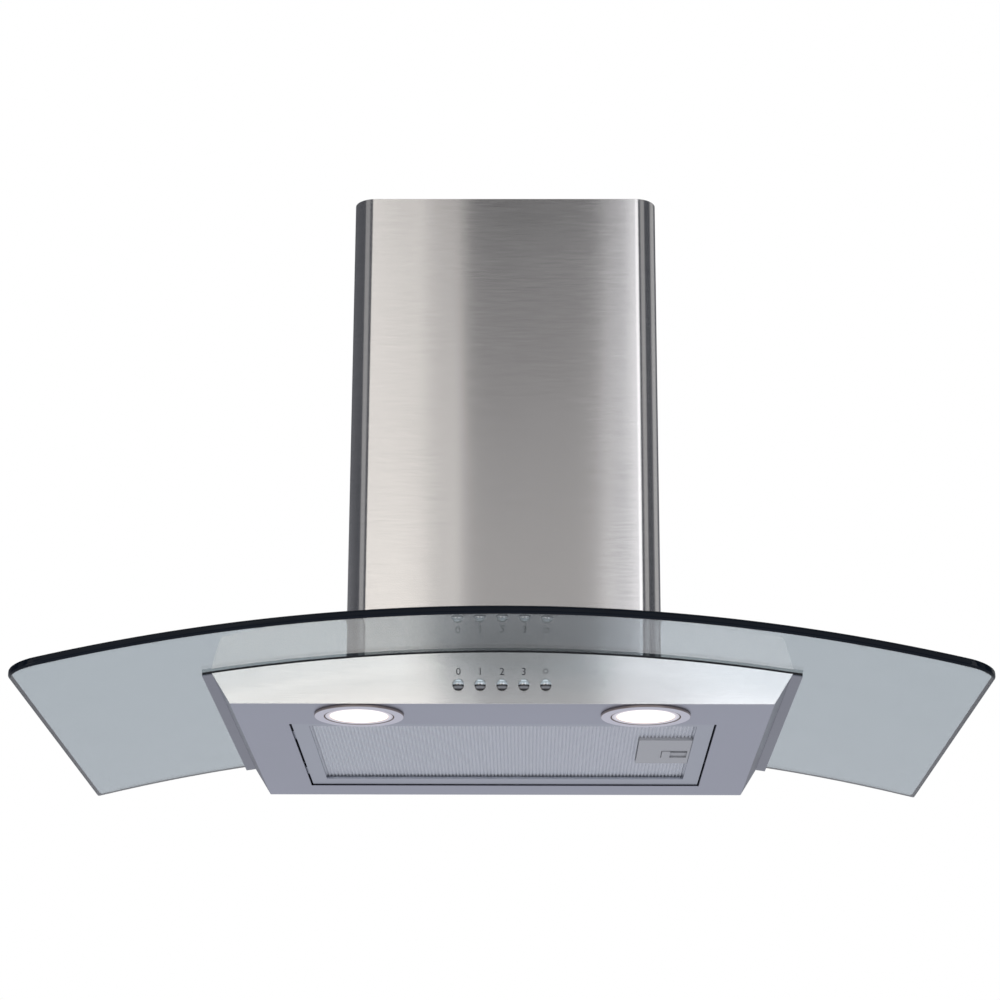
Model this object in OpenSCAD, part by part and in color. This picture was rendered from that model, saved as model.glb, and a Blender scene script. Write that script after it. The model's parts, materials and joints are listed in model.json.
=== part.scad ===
// Wall chimney hood with a curved glass canopy.
// Millimetres, +Z up, the wall is the plane Y = 0 and the front faces -Y.
// The origin is the centre of the four wall screw holes, on the wall.

/* [Glass canopy] */
// Width of the glass
glass_w = 800; // [660:10:1000]
// Depth of the glass, from the wall to its front edge
glass_d = 500; // [450:5:600]
// Thickness of the glass
glass_t = 7; // [5:0.5:9]
// Radius of the bent underside of the glass
glass_bend_r = 1640; // [1300:10:2400]
// Radius of the two front corners
glass_corner_r = 24; // [6:1:60]
// Height of the glass over the underside of the body, on the centre line
glass_rise = 46.7; // [44:0.1:70]

/* [Body] */
// Width of the underside
body_w = 460; // [450:5:560]
// Depth of the body, from the wall to the fascia
body_d = 382; // [375:1:430]
// Lean of each side wall out from the vertical, degrees
side_lean = 31.7; // [10:0.1:40]
// Thickness of the body sheet
sheet_t = 1; // [0.8:0.1:1.5]
// How far the deck stands out past each side wall
deck_overhang = 7.5; // [3:0.5:15]
// Thickness of the seal between deck and glass
seal_t = 2; // [1:0.1:3]
// Height of the wall screw pattern over the underside of the body
hang_height = 220; // [200:5:240]

/* [Chimney] */
// Width of the lower chimney
chimney_w = 285; // [280:1:320]
// Depth of the lower chimney
chimney_d = 258; // [250:1:300]
// Height of the chimney top over the underside of the body
chimney_top = 520; // [440:1:620]
// Outside radius of the two front corners
chimney_corner_r = 20; // [8:1:30]
// Thickness of the chimney sheet
chimney_t = 0.8; // [0.6:0.1:1.2]
// Width of the returns at the wall
chimney_return = 14; // [8:1:18]
// Gap between the lower and the upper chimney
chimney_gap = 0.5; // [0.3:0.1:1]

/* [Push buttons] */
// Diameter of a button
button_d = 10; // [7:0.5:13]
// Distance between two buttons
button_pitch = 18.5; // [15:0.5:24]
// Height of the buttons over the underside
button_height = 16.5; // [13:0.5:20]
// Travel of a button
button_travel = 3; // [1.5:0.5:4]

/* [Lamps] */
// Diameter of the bezel
bezel_d = 77; // [70:1:78]
// Distance from the centre line to a lamp
lamp_offset = 123; // [110:1:140]
// Distance from the fascia to the middle of a lamp
lamp_inset = 40; // [39.5:0.5:42]
// How far the bezel stands below the underside
bezel_drop = 2.3; // [1:0.1:5]

/* [Grease filter] */
// Width of the filter
filter_w = 370; // [330:5:400]
// Depth of the filter, front to back
filter_d = 260; // [230:5:270]
// Thickness of the filter
filter_t = 9; // [8.5:0.5:11]
// Distance from the wall to the back edge of the filter
filter_from_wall = 43; // [30:1:60]
// Gap round the filter
filter_gap = 1.5; // [1:0.1:3]
// Distance between two pleats of the mesh
pleat_pitch = 3.3; // [2.5:0.1:8]

/* [Air path] */
// Outside diameter of the outlet collar
collar_d = 150; // [120:1:150]
// Radius of the impeller
impeller_r = 65; // [55:1:68]
// Number of impeller blades
blade_count = 30; // [12:1:40]

/* [Hidden] */

// Small overlap that keeps cuts clean
eps = 1;
// Gap between curved sheets that lie on each other
skin_gap = 0.1;

// Levels: everything hangs below the wall screw pattern
under_z = -hang_height;
bend_z = under_z + glass_rise - glass_bend_r;
deck_top_r = glass_bend_r - seal_t;
deck_r = deck_top_r - sheet_t;
glass_top_r = glass_bend_r + glass_t;
glass_top_z = under_z + glass_rise + glass_t;

// Plan of the body
lean_run = tan(side_lean);
side_sheet = sheet_t / cos(side_lean);
side_top_x = body_w / 2 + lean_run * (bend_level(deck_r, body_w / 2) - under_z);
deck_half = side_top_x + deck_overhang;
fascia_y = -body_d;
panel_front = fascia_y + sheet_t;

// Air opening through deck, glass and gasket
air_half = 108;
air_front = -222;
air_back = -18;
air_corner_r = 12;
glass_margin = 2;
seal_w = 12;

// Motor box and what it stands on
box_half = 120;
box_d = 236;
box_t = 1;
box_foot = 14;
gasket_lift = 6;
box_z = glass_top_z + gasket_lift;
box_h = 274;
box_top = box_z + box_h;
gasket_half = box_half + box_foot;
gasket_front = -240;
gasket_back = -(chimney_t + 0.7);
clamp_x = 127;
clamp_y = [-40, -200];
bolt_r = 2.5;
bolt_gap = 0.3;
bush_r = 5.8;
bush_gap = 0.2;
bolt_head_r = 4.5;
bolt_head_h = 3;
nut_h = 4;
wall_hole_r = 4;
wall_hole_x = 90;
wall_hole_z = 100;

// Blower
scroll_x = -22;
scroll_y = -118;
scroll_z = box_z + 98;
scroll_d = 96;
scroll_t = 2;
scroll_gap = 5;
scroll_growth = 22;
tongue_angle = 75;
sweep_angle = 285;
scroll_r0 = impeller_r + scroll_gap;
scroll_r1 = scroll_r0 + scroll_growth;
inlet_r = impeller_r - 13;
blade_ring_w = 13;
blade_t = 1.2;
blade_lean = 35;
impeller_d = 82;
hub_r = 9;
hub_h = 12;
disc_t = 3;
shaft_r = 4;
shaft_gap = 0.05;
hub_gap = 0.02;
motor_r = 38;
motor_front = scroll_y + 6;
motor_back = -52;
bracket_t = 3;
bracket_arm_r = 62;

// Outlet
collar_r = collar_d / 2;
collar_t = 2;
collar_y = scroll_y;
collar_base = 80;
collar_base_h = 20;
collar_h = 50;
collar_z = box_top + collar_base_h;
pin_r = 1.5;
pin_x = 3.2;
pin_z = collar_z + 15;
sleeve_r = 2.6;
sleeve_gap = 0.05;
flap_t = 1.2;
flap_drop = 1.2;
flap_gap = 1.5;
ledge_w = 4;
ledge_t = 1.5;
ledge_z = pin_z - flap_drop - flap_t - 0.4 - ledge_t;

// Chimney
chimney_foot_gap = 1;
upper_inset = chimney_t + chimney_gap;
upper_w = chimney_w - 2 * upper_inset;
upper_d = chimney_d - upper_inset;
upper_bottom = box_z + 8;
upper_top = under_z + chimney_top - 2;
foot_leg_h = 6;
foot_leg_t = 1;
foot_w = 18;
foot_clear = 2;
bracket_h = 25;
bracket_sheet = 2;
bracket_hole_r = 3;
bracket_hole_x = 60;
bracket_arm = 60;

// Buttons
button_r = button_d / 2;
button_z = under_z + button_height;
button_gap = 0.3;
button_rim = 1.2;
dome_r = button_r * 1.12;
button_rear = panel_front + 0.4;
flange_r = button_r + 1.2;
flange_t = 1;
spring_r = 4.4;
spring_t = 1.2;
spring_solid = 4.6;
spring_front = button_rear + flange_t;
bank_front = spring_front + button_travel + spring_solid;
bank_d = 24;
bank_h = 16;
bank_bore_d = 16;
stem_r = 2.5;
stem_grip = 5.4;
stem_end = bank_front + stem_grip;
post_r = 2;
post_x = 2 * button_pitch + max(flange_r, spring_r) + post_r + 0.5;
bank_half = post_x + post_r + 1;

// Lamps
lamp_y = fascia_y + lamp_inset;
bezel_r = bezel_d / 2;
bezel_lip = 6.9;
bezel_tube_r = bezel_r - bezel_lip;
bezel_wall = 1.6;
bezel_bore_r = bezel_tube_r - bezel_wall;
bezel_tube_h = 10;
lamp_hole_gap = 0.4;
trim_gap = 0.8;
trim_r = bezel_bore_r - trim_gap;
trim_low = 0.4 - bezel_drop;
trim_t = 2.4;
trim_tube_t = 1.2;
trim_tube_h = 7;
trim_tab_z = 4;
trim_tab_t = 1;
trim_w = 4.2;
lamp_glass_r = trim_r - trim_w;
lamp_glass_gap = 0.2;
lamp_glass_t = 2.5;
bulb_r = 7;
bulb_l = 14;
pin_l = 2.4;
holder_r = bezel_tube_r;
holder_h = 20;
holder_t = 1;

// Filter
filter_half = filter_w / 2;
filter_back = -filter_from_wall;
filter_front = filter_back - filter_d;
filter_recess = 1.5;
filter_z = under_z + filter_recess;
border_side = 15;
border_back = 24;
border_front = 12;
mesh_lip = 4;
mesh_gap = 0.3;
mesh_z = filter_z + 2.5;
mesh_h = 3.6;
mesh_sheet = 1.4;
left_rim_h = 2.3;
right_rim_h = 3.2;
tongue_z = under_z + 3;
tongue_t = 1.4;
tongue_w = 30;
tongue_l = 9;
tongue_y = 75;

// Latch
latch_w = 47.8;
latch_d = 96;
latch_y = (filter_front + filter_back) / 2 - 12;
latch_right = filter_half - border_side - 0.2;
latch_left = latch_right - latch_w;
latch_low = filter_z + 0.5;
latch_top = filter_z + filter_t - 1;
latch_wall = 1;
slot_left = latch_left + 22;
slot_right = latch_left + 45.5;
slot_d = 29;
slot_y = latch_y + 9.5;
bolt_w = 12;
bolt_y = slot_y + (slot_d - bolt_w) / 2 - 1.5;
bolt_t = 2;
bolt_z = under_z + right_rim_h + 0.3;
latch_travel = 6;
bolt_grip = 2.9;
bolt_tip = filter_half + filter_gap + sheet_t + bolt_grip - latch_travel;
latch_fit = 0.4;
pad_w = 8;
pad_t = 0.9;
neck_t = 1.5;

// Electrics
terminal_x = [-118, -82];
terminal_y = [-160, -60];
terminal_h = 28;
terminal_t = 2;
gland_r = 8;
gland_neck_r = 6;
gland_tail = 4;
gland_bore_r = 4;
gland_l = 16;
gland_y = -85;
loom_r = 3;
loom_hole_r = 5;
loom_route = [
  [-42, bank_front + bank_d, under_z + 18], [-42, bank_front + bank_d + 14, under_z + 18],
  [-42, -300, under_z + 28], [-100, -200, under_z + 34], [-104, -190, under_z + 64],
  [-110, -190, box_top - 40], [-101, -140, box_top - 12], [-101, -140, box_top + 6]
];
loom_end = loom_route[len(loom_route) - 1];

// Height of the bent surface of radius r at distance x from the centre line
function bend_level(r, x) = bend_z + sqrt(r * r - x * x);

// One point of the scroll outline, a degrees past the tongue
function spiral_r(a) = scroll_r0 + scroll_growth * a / sweep_angle;
function spiral(a, inset) = [
  scroll_x + (spiral_r(a) - inset) * cos(tongue_angle + a),
  scroll_z + (spiral_r(a) - inset) * sin(tongue_angle + a)
];

// A box between two corners
module block(low, high) {
  translate(low) cube(high - low);
}

// A flat outline in X and Z, drawn out from y_back towards the front
module drawn_out(y_back, depth) {
  translate([0, y_back, 0]) rotate([90, 0, 0]) linear_extrude(depth) children();
}

// A round bar along Y, from y0 to y1
module bar_y(r, x, z, y0, y1) {
  translate([x, y0, z]) rotate([-90, 0, 0]) cylinder(r = r, h = y1 - y0, $fn = 48);
}

// The solid under a bent surface of radius r
module under_bend(r) {
  translate([0, -glass_d - eps, bend_z])
    rotate([-90, 0, 0])
      cylinder(r = r, h = glass_d + 2 * eps, $fn = 256);
}

// A bent plate between two radii, cut to a plan outline
module bent_plate(r_low, r_high) {
  intersection() {
    translate([0, 0, under_z - 20]) linear_extrude(glass_rise + 40) children();
    difference() {
      under_bend(r_high);
      under_bend(r_low);
    }
  }
}

// Plan of the air opening, larger by margin all round
module air_plan(margin) {
  half = air_half + margin;
  front = air_front - margin;
  back = air_back + margin;
  r = air_corner_r;
  translate([-half + r, front]) square([2 * half - 2 * r, back - front]);
  translate([-half, front + r]) square([2 * half, back - front - 2 * r]);
  for (x = [-half + r, half - r], y = [front + r, back - r])
    translate([x, y]) circle(r = r, $fn = 48);
}

// The four clamp bolt places
module at_clamps() {
  for (x = [-clamp_x, clamp_x], y = clamp_y)
    translate([x, y, 0]) children();
}

// Section of the body, inset from the outside by side and by bottom
module body_section(side, bottom) {
  rise = glass_rise;
  polygon([
    [-body_w / 2 + side - lean_run * bottom, under_z + bottom],
    [body_w / 2 - side + lean_run * bottom, under_z + bottom],
    [body_w / 2 - side + lean_run * rise, under_z + rise],
    [-body_w / 2 + side - lean_run * rise, under_z + rise]
  ]);
}

module body_shell() {
  open_half = filter_half + filter_gap;
  open_front = filter_front - filter_gap;
  open_back = filter_back + filter_gap;
  color("lightslategray")
    difference() {
      union() {
        intersection() {
          difference() {
            drawn_out(0, -panel_front) body_section(0, 0);
            drawn_out(-sheet_t, body_d) body_section(side_sheet, sheet_t);
          }
          under_bend(deck_r - skin_gap);
        }
        block([-open_half - sheet_t, open_front, under_z],
              [-open_half, open_back, under_z + left_rim_h]);
        block([open_half, open_front, under_z],
              [open_half + sheet_t, open_back, under_z + right_rim_h]);
      }
      block([-open_half, open_front, under_z - eps], [open_half, open_back, under_z + 2 * eps]);
      for (x = [-lamp_offset, lamp_offset])
        translate([x, lamp_y, under_z - eps])
          cylinder(r = bezel_tube_r + lamp_hole_gap, h = sheet_t + 2 * eps, $fn = 96);
    }
}

module front_fascia() {
  return_w = 10;
  return_inset = 4;
  color("silver")
    difference() {
      union() {
        intersection() {
          drawn_out(panel_front, sheet_t) body_section(0, 0);
          under_bend(deck_top_r);
        }
        block([-body_w / 2 + return_inset, panel_front - sheet_t / 2, under_z + sheet_t],
              [body_w / 2 - return_inset, panel_front + return_w, under_z + 2 * sheet_t]);
      }
      for (i = [-2 : 2])
        bar_y(button_r + button_gap, i * button_pitch, button_z, fascia_y - eps, panel_front + eps);
      for (x = [-lamp_offset, lamp_offset])
        translate([x, lamp_y, under_z + sheet_t - eps / 2])
          cylinder(r = bezel_tube_r + lamp_hole_gap, h = sheet_t + eps, $fn = 96);
    }
}

module top_deck() {
  color("gray")
    difference() {
      bent_plate(deck_r, deck_top_r)
        difference() {
          translate([-deck_half, panel_front + skin_gap])
            square([2 * deck_half, -panel_front - skin_gap]);
          air_plan(0);
        }
      at_clamps() translate([0, 0, under_z]) cylinder(r = bolt_r + bolt_gap, h = glass_rise, $fn = 32);
    }
}

// Plan of the glass
module glass_plan() {
  r = glass_corner_r;
  half = glass_w / 2;
  translate([-half, -glass_d + r]) square([glass_w, glass_d - r]);
  translate([-half + r, -glass_d]) square([glass_w - 2 * r, glass_d]);
  for (x = [-half + r, half - r])
    translate([x, -glass_d + r]) circle(r = r, $fn = 64);
}

module glass_canopy() {
  color([0.66, 0.72, 0.75, 0.5])
    difference() {
      bent_plate(glass_bend_r, glass_top_r)
        difference() {
          glass_plan();
          air_plan(glass_margin);
        }
      at_clamps()
        translate([0, 0, under_z])
          cylinder(r = bush_r + bush_gap, h = glass_rise + 2 * glass_t, $fn = 48);
    }
}

module glass_seal() {
  color([0.08, 0.08, 0.09])
    bent_plate(deck_top_r + skin_gap, glass_bend_r - skin_gap)
      union() {
        difference() {
          translate([-deck_half, fascia_y + sheet_t / 2]) square([2 * deck_half, body_d - sheet_t / 2]);
          translate([-deck_half + seal_w, fascia_y + seal_w])
            square([2 * deck_half - 2 * seal_w, body_d - 2 * seal_w]);
        }
        difference() {
          air_plan(seal_w / 2);
          air_plan(0);
        }
      }
}

module glass_bushes() {
  color([0.1, 0.1, 0.1])
    intersection() {
      at_clamps()
        translate([0, 0, under_z])
          difference() {
            cylinder(r = bush_r, h = glass_rise + 2 * glass_t, $fn = 48);
            translate([0, 0, -eps])
              cylinder(r = bolt_r + bolt_gap, h = glass_rise + 2 * glass_t + 2 * eps, $fn = 32);
          }
      difference() {
        under_bend(glass_top_r - skin_gap);
        under_bend(glass_bend_r + skin_gap);
      }
    }
}

module air_gasket() {
  color([0.12, 0.12, 0.13])
    difference() {
      block([-gasket_half, gasket_front, under_z + glass_rise - 10], [gasket_half, gasket_back, box_z]);
      under_bend(glass_top_r + skin_gap);
      translate([0, 0, under_z]) linear_extrude(2 * glass_rise) air_plan(0);
      at_clamps()
        translate([0, 0, under_z])
          cylinder(r = bolt_r + bolt_gap, h = 2 * glass_rise, $fn = 32);
    }
}

module clamp_bolts() {
  head_z = box_z + box_t + foot_leg_t;
  tail_z = bend_level(deck_r, clamp_x) - nut_h - 2;
  color("silver")
    at_clamps() {
      translate([0, 0, tail_z]) cylinder(r = bolt_r, h = head_z - tail_z + eps, $fn = 32);
      translate([0, 0, head_z + 0.05]) cylinder(r = bolt_head_r, h = bolt_head_h, $fn = 6);
    }
}

module clamp_nuts() {
  nut_z = bend_level(deck_r, clamp_x) - nut_h - 1.2;
  color("silver")
    at_clamps()
      translate([0, 0, nut_z])
        difference() {
          cylinder(r = bolt_head_r, h = nut_h, $fn = 6);
          translate([0, 0, -eps]) cylinder(r = bolt_r + hub_gap, h = nut_h + 2 * eps, $fn = 32);
        }
}

module motor_box() {
  outlet_low = spiral(0, scroll_t)[0] + scroll_t * 2;
  outlet_high = scroll_x + scroll_r1 - scroll_t;
  color("lightgray")
    difference() {
      union() {
        block([-box_half, -box_d, box_z], [box_half, 0, box_top]);
        block([-gasket_half, -box_d, box_z], [gasket_half, gasket_back, box_z + box_t]);
      }
      block([-box_half + box_t, -box_d + box_t, box_z - eps],
            [box_half - box_t, -box_t, box_top - box_t]);
      block([outlet_low, scroll_y - scroll_d / 2 + scroll_t, box_top - 2 * box_t],
            [outlet_high, scroll_y + scroll_d / 2 - scroll_t, box_top + eps]);
      for (x = [-wall_hole_x, wall_hole_x], z = [-wall_hole_z, wall_hole_z])
        bar_y(wall_hole_r, x, z, -box_t - eps, eps);
      at_clamps()
        translate([0, 0, box_z - eps])
          cylinder(r = bolt_r + bolt_gap, h = box_t + 2 * eps, $fn = 32);
      translate([loom_end[0], loom_end[1], box_top - 2 * box_t])
        cylinder(r = loom_hole_r, h = 4 * box_t, $fn = 32);
    }
}

// Scroll outline, inset by the wall
module scroll_section(inset) {
  top = box_top - box_t - skin_gap + (inset > 0 ? eps : 0);
  left = spiral(0, 0)[0] + 2 * inset;
  polygon(concat(
    [for (a = [0 : 15 : sweep_angle]) spiral(a, inset)],
    [[scroll_x + scroll_r1 - inset, top], [left, top]]
  ));
}

module blower_scroll() {
  back = scroll_y + scroll_d / 2;
  color("dimgray")
    difference() {
      drawn_out(back, scroll_d - scroll_t) scroll_section(0);
      drawn_out(back - scroll_t, scroll_d) scroll_section(scroll_t);
      bar_y(inlet_r, scroll_x, scroll_z, back - 2 * scroll_t, back + eps);
    }
}

module scroll_cover() {
  front = scroll_y - scroll_d / 2;
  lip_h = 4;
  color("gray")
    difference() {
      union() {
        drawn_out(front + scroll_t, scroll_t) scroll_section(0);
        bar_y(inlet_r + scroll_t, scroll_x, scroll_z, front - lip_h, front + eps);
      }
      bar_y(inlet_r, scroll_x, scroll_z, front - lip_h - eps, front + scroll_t + eps);
    }
}

module motor_housing() {
  vent_r = 3;
  vent_ring_r = 21;
  vent_d = 10;
  color("gainsboro")
    difference() {
      union() {
        bar_y(motor_r, scroll_x, scroll_z, motor_front + 4, motor_back - 4);
        bar_y(motor_r - 8, scroll_x, scroll_z, motor_front, motor_back);
      }
      bar_y(shaft_r + shaft_gap, scroll_x, scroll_z, motor_front - eps, motor_back + eps);
      for (a = [0 : 45 : 315])
        bar_y(vent_r, scroll_x + vent_ring_r * cos(a), scroll_z + vent_ring_r * sin(a),
              motor_back - vent_d, motor_back + eps);
    }
}

module motor_bracket() {
  face = scroll_y + scroll_d / 2 + skin_gap;
  arm_w = 12;
  color("silver")
    difference() {
      union() {
        bar_y(motor_r + 5, scroll_x, scroll_z, face, face + bracket_t);
        for (a = [90, 210, 330])
          translate([scroll_x, face, scroll_z])
            rotate([0, -a, 0])
              block([motor_r + 1, 0, -arm_w / 2], [bracket_arm_r, bracket_t, arm_w / 2]);
      }
      bar_y(motor_r + skin_gap, scroll_x, scroll_z, face - eps, face + bracket_t + eps);
    }
}

module motor_shaft() {
  color("silver")
    bar_y(shaft_r, scroll_x, scroll_z, scroll_y - hub_h / 2 - 4, motor_back + 3);
}

module impeller() {
  low = scroll_y - impeller_d / 2;
  high = scroll_y + impeller_d / 2;
  ring_t = 2;
  color([0.2, 0.2, 0.22])
    difference() {
      union() {
        for (y = [low, high - ring_t])
          difference() {
            bar_y(impeller_r, scroll_x, scroll_z, y, y + ring_t);
            bar_y(impeller_r - blade_ring_w, scroll_x, scroll_z, y - eps, y + ring_t + eps);
          }
        bar_y(impeller_r - 0.5, scroll_x, scroll_z, scroll_y - disc_t / 2, scroll_y + disc_t / 2);
        bar_y(hub_r, scroll_x, scroll_z, scroll_y - hub_h / 2, scroll_y + disc_t);
        for (i = [0 : blade_count - 1])
          translate([scroll_x, 0, scroll_z])
            rotate([0, i * 360 / blade_count, 0])
              translate([impeller_r - blade_ring_w / 2 - 0.5, 0, 0])
                rotate([0, blade_lean, 0])
                  block([-blade_ring_w / 2, low + ring_t / 2, -blade_t / 2],
                        [blade_ring_w / 2 - 1, high - ring_t / 2, blade_t / 2]);
      }
      bar_y(shaft_r + hub_gap, scroll_x, scroll_z, low - eps, high + eps);
    }
}

module run_capacitor() {
  r = 14;
  h = 60;
  color("white")
    translate([-box_half + box_t + r + 1, -box_d + box_t + r + 1, box_z + 90])
      union() {
        cylinder(r = r, h = h, $fn = 64);
        translate([-4, 0, h - eps]) cylinder(r = 1.5, h = 7, $fn = 24);
        translate([4, 0, h - eps]) cylinder(r = 1.5, h = 7, $fn = 24);
      }
}

module outlet_collar() {
  color([0.16, 0.16, 0.17])
    difference() {
      union() {
        block([-collar_base, collar_y - collar_base, box_top],
              [collar_base, collar_y + collar_base, collar_z]);
        translate([0, collar_y, collar_z - collar_t])
          cylinder(r = collar_r, h = collar_h + collar_t, $fn = 128);
      }
      block([-collar_base + collar_t, collar_y - collar_base + collar_t, box_top - eps],
            [collar_base - collar_t, collar_y + collar_base - collar_t, collar_z - collar_t]);
      difference() {
        translate([0, collar_y, collar_z - 2 * collar_t])
          cylinder(r = collar_r - collar_t, h = collar_h + 3 * collar_t, $fn = 128);
        translate([0, collar_y, ledge_z])
          difference() {
            cylinder(r = collar_r, h = ledge_t, $fn = 128);
            translate([0, 0, -eps])
              cylinder(r = collar_r - collar_t - ledge_w, h = ledge_t + 2 * eps, $fn = 128);
          }
      }
      for (x = [-pin_x, pin_x])
        bar_y(pin_r + hub_gap, x, pin_z, collar_y - collar_r - eps, collar_y + collar_r + eps);
    }
}

module flap_pins() {
  color("silver")
    for (x = [-pin_x, pin_x])
      bar_y(pin_r, x, pin_z, collar_y - collar_r + 0.5, collar_y + collar_r - 0.5);
}

// One flap: a half disc under a sleeve that turns on its pin
module return_flap(side) {
  r = collar_r - collar_t - flap_gap;
  start = 1.1;
  sleeve_half = r - ledge_w - 2.5;
  low = pin_z - flap_drop - flap_t;
  mirror([side < 0 ? 1 : 0, 0, 0])
    difference() {
      union() {
        intersection() {
          translate([0, collar_y, low]) cylinder(r = r, h = flap_t, $fn = 128);
          block([pin_x + start, collar_y - r - eps, low - eps], [r + eps, collar_y + r + eps, pin_z]);
        }
        bar_y(sleeve_r, pin_x, pin_z, collar_y - sleeve_half, collar_y + sleeve_half);
      }
      bar_y(pin_r + sleeve_gap, pin_x, pin_z, collar_y - r - eps, collar_y + r + eps);
    }
}

module return_flap_left() {
  color([0.85, 0.85, 0.82]) return_flap(-1);
}

module return_flap_right() {
  color([0.85, 0.85, 0.82]) return_flap(1);
}

// Plan of a chimney section, solid, with two round front corners
module chimney_plan(w, d, r) {
  translate([-w / 2, -d + r]) square([w, d - r]);
  translate([-w / 2 + r, -d]) square([w - 2 * r, d]);
  for (x = [-w / 2 + r, w / 2 - r])
    translate([x, -d + r]) circle(r = r, $fn = 64);
}

// Sheet section of a chimney, open between its two wall returns
module chimney_sheet(w, d, r, back) {
  difference() {
    translate([0, back]) chimney_plan(w, d + back, r);
    translate([0, back - chimney_t])
      chimney_plan(w - 2 * chimney_t, d + back - 2 * chimney_t, r - chimney_t);
    translate([-w / 2 + chimney_return, back - 2 * chimney_t])
      square([w - 2 * chimney_return, 4 * chimney_t]);
  }
}

module chimney_lower() {
  color("silver")
    difference() {
      translate([0, 0, under_z + glass_rise - 12])
        linear_extrude(chimney_top - glass_rise + 12)
          chimney_sheet(chimney_w, chimney_d, chimney_corner_r, 0);
      under_bend(glass_top_r + chimney_foot_gap);
    }
}

module chimney_feet() {
  wall = chimney_w / 2 - chimney_t - skin_gap;
  low = box_z + box_t + skin_gap / 4;
  color("gray")
    difference() {
      for (s = [-1, 1], y = clamp_y) {
        mirror([s < 0 ? 1 : 0, 0, 0]) {
          block([box_half + foot_clear, y - foot_w / 2, low], [wall, y + foot_w / 2, low + foot_leg_t]);
          block([wall - foot_leg_t, y - foot_w / 2, low - foot_leg_h],
                [wall, y + foot_w / 2, low + foot_leg_t]);
        }
      }
      at_clamps()
        translate([0, 0, low - eps])
          cylinder(r = bolt_r + bolt_gap, h = foot_leg_t + 2 * eps, $fn = 32);
    }
}

module chimney_upper() {
  color("silver")
    translate([0, 0, upper_bottom])
      linear_extrude(upper_top - upper_bottom)
        chimney_sheet(upper_w, upper_d, chimney_corner_r - upper_inset, -upper_inset);
}

module ceiling_bracket() {
  wall = upper_w / 2 - chimney_t - 0.2;
  back_half = upper_w / 2 - chimney_return - 3;
  step_y = -upper_inset - chimney_t - 0.3;
  low = upper_top - bracket_h - 10;
  t = bracket_sheet;
  color("gray")
    difference() {
      for (s = [-1, 1])
        mirror([s < 0 ? 1 : 0, 0, 0]) {
          block([0, -t, low], [back_half, 0, low + bracket_h]);
          block([back_half - t, step_y - t, low], [back_half, 0, low + bracket_h]);
          block([back_half - t, step_y - t, low], [wall, step_y, low + bracket_h]);
          block([wall - t, -bracket_arm, low], [wall, step_y, low + bracket_h]);
        }
      for (x = [-bracket_hole_x, bracket_hole_x])
        bar_y(bracket_hole_r, x, low + bracket_h / 2, -t - eps, eps);
    }
}

module switch_bank() {
  z0 = button_z - bank_h / 2;
  color([0.13, 0.13, 0.14])
    difference() {
      union() {
        block([-bank_half, bank_front, z0], [bank_half, bank_front + bank_d, z0 + bank_h]);
        for (x = [-post_x, post_x])
          bar_y(post_r, x, button_z, panel_front + skin_gap, bank_front + eps);
      }
      for (i = [-2 : 2])
        bar_y(stem_r + button_gap, i * button_pitch, button_z,
              bank_front - eps, bank_front + bank_bore_d);
    }
}

// One button: a chrome dome, its rim, the flange behind the fascia and the stem
module push_button(place) {
  dome_base = sqrt(dome_r * dome_r - button_r * button_r);
  color("gainsboro")
    translate([place * button_pitch, 0, button_z])
      rotate([90, 0, 0])
        union() {
          translate([0, 0, -button_rear])
            cylinder(r = button_r, h = button_rear - fascia_y + button_rim, $fn = 64);
          intersection() {
            translate([0, 0, -fascia_y + button_rim - dome_base]) sphere(r = dome_r, $fn = 64);
            translate([0, 0, -fascia_y + button_rim - 0.2])
              cylinder(r = button_r, h = dome_r, $fn = 64);
          }
          translate([0, 0, -spring_front]) cylinder(r = flange_r, h = flange_t, $fn = 64);
          translate([0, 0, -stem_end]) cylinder(r = stem_r, h = stem_end - button_rear, $fn = 32);
        }
}

// The return spring of one button, a plain sleeve
module button_spring(place) {
  x = place * button_pitch;
  color("darkgray")
    difference() {
      bar_y(spring_r, x, button_z, spring_front, bank_front);
      bar_y(spring_r - spring_t, x, button_z, spring_front - eps, bank_front + eps);
    }
}

// A lamp part, moved to its side
module at_lamp(side) {
  translate([side * lamp_offset, lamp_y, under_z]) children();
}

module lamp_bezel(side) {
  color("gainsboro")
    at_lamp(side)
      difference() {
        union() {
          translate([0, 0, -bezel_drop]) cylinder(r = bezel_r, h = bezel_drop - 0.05, $fn = 128);
          translate([0, 0, -bezel_drop])
            cylinder(r = bezel_tube_r, h = bezel_drop + bezel_tube_h, $fn = 128);
        }
        translate([0, 0, -bezel_drop - eps])
          cylinder(r = bezel_bore_r, h = bezel_drop + bezel_tube_h + 2 * eps, $fn = 128);
      }
}

module lamp_trim(side) {
  tube_r = lamp_glass_r + lamp_glass_gap + trim_tube_t;
  color("lavender")
    at_lamp(side)
      difference() {
        union() {
          translate([0, 0, trim_low]) cylinder(r = trim_r, h = trim_t, $fn = 128);
          translate([0, 0, trim_low]) cylinder(r = tube_r, h = trim_tube_h, $fn = 128);
          translate([0, 0, trim_tab_z])
            cylinder(r = bezel_bore_r - skin_gap, h = trim_tab_t, $fn = 128);
        }
        translate([0, 0, -bezel_drop - eps])
          cylinder(r = lamp_glass_r + lamp_glass_gap, h = 2 * bezel_tube_h, $fn = 128);
      }
}

module lamp_glass(side) {
  color([1, 0.93, 0.8])
    at_lamp(side)
      translate([0, 0, -bezel_drop + 0.8]) cylinder(r = lamp_glass_r, h = lamp_glass_t, $fn = 128);
}

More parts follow.
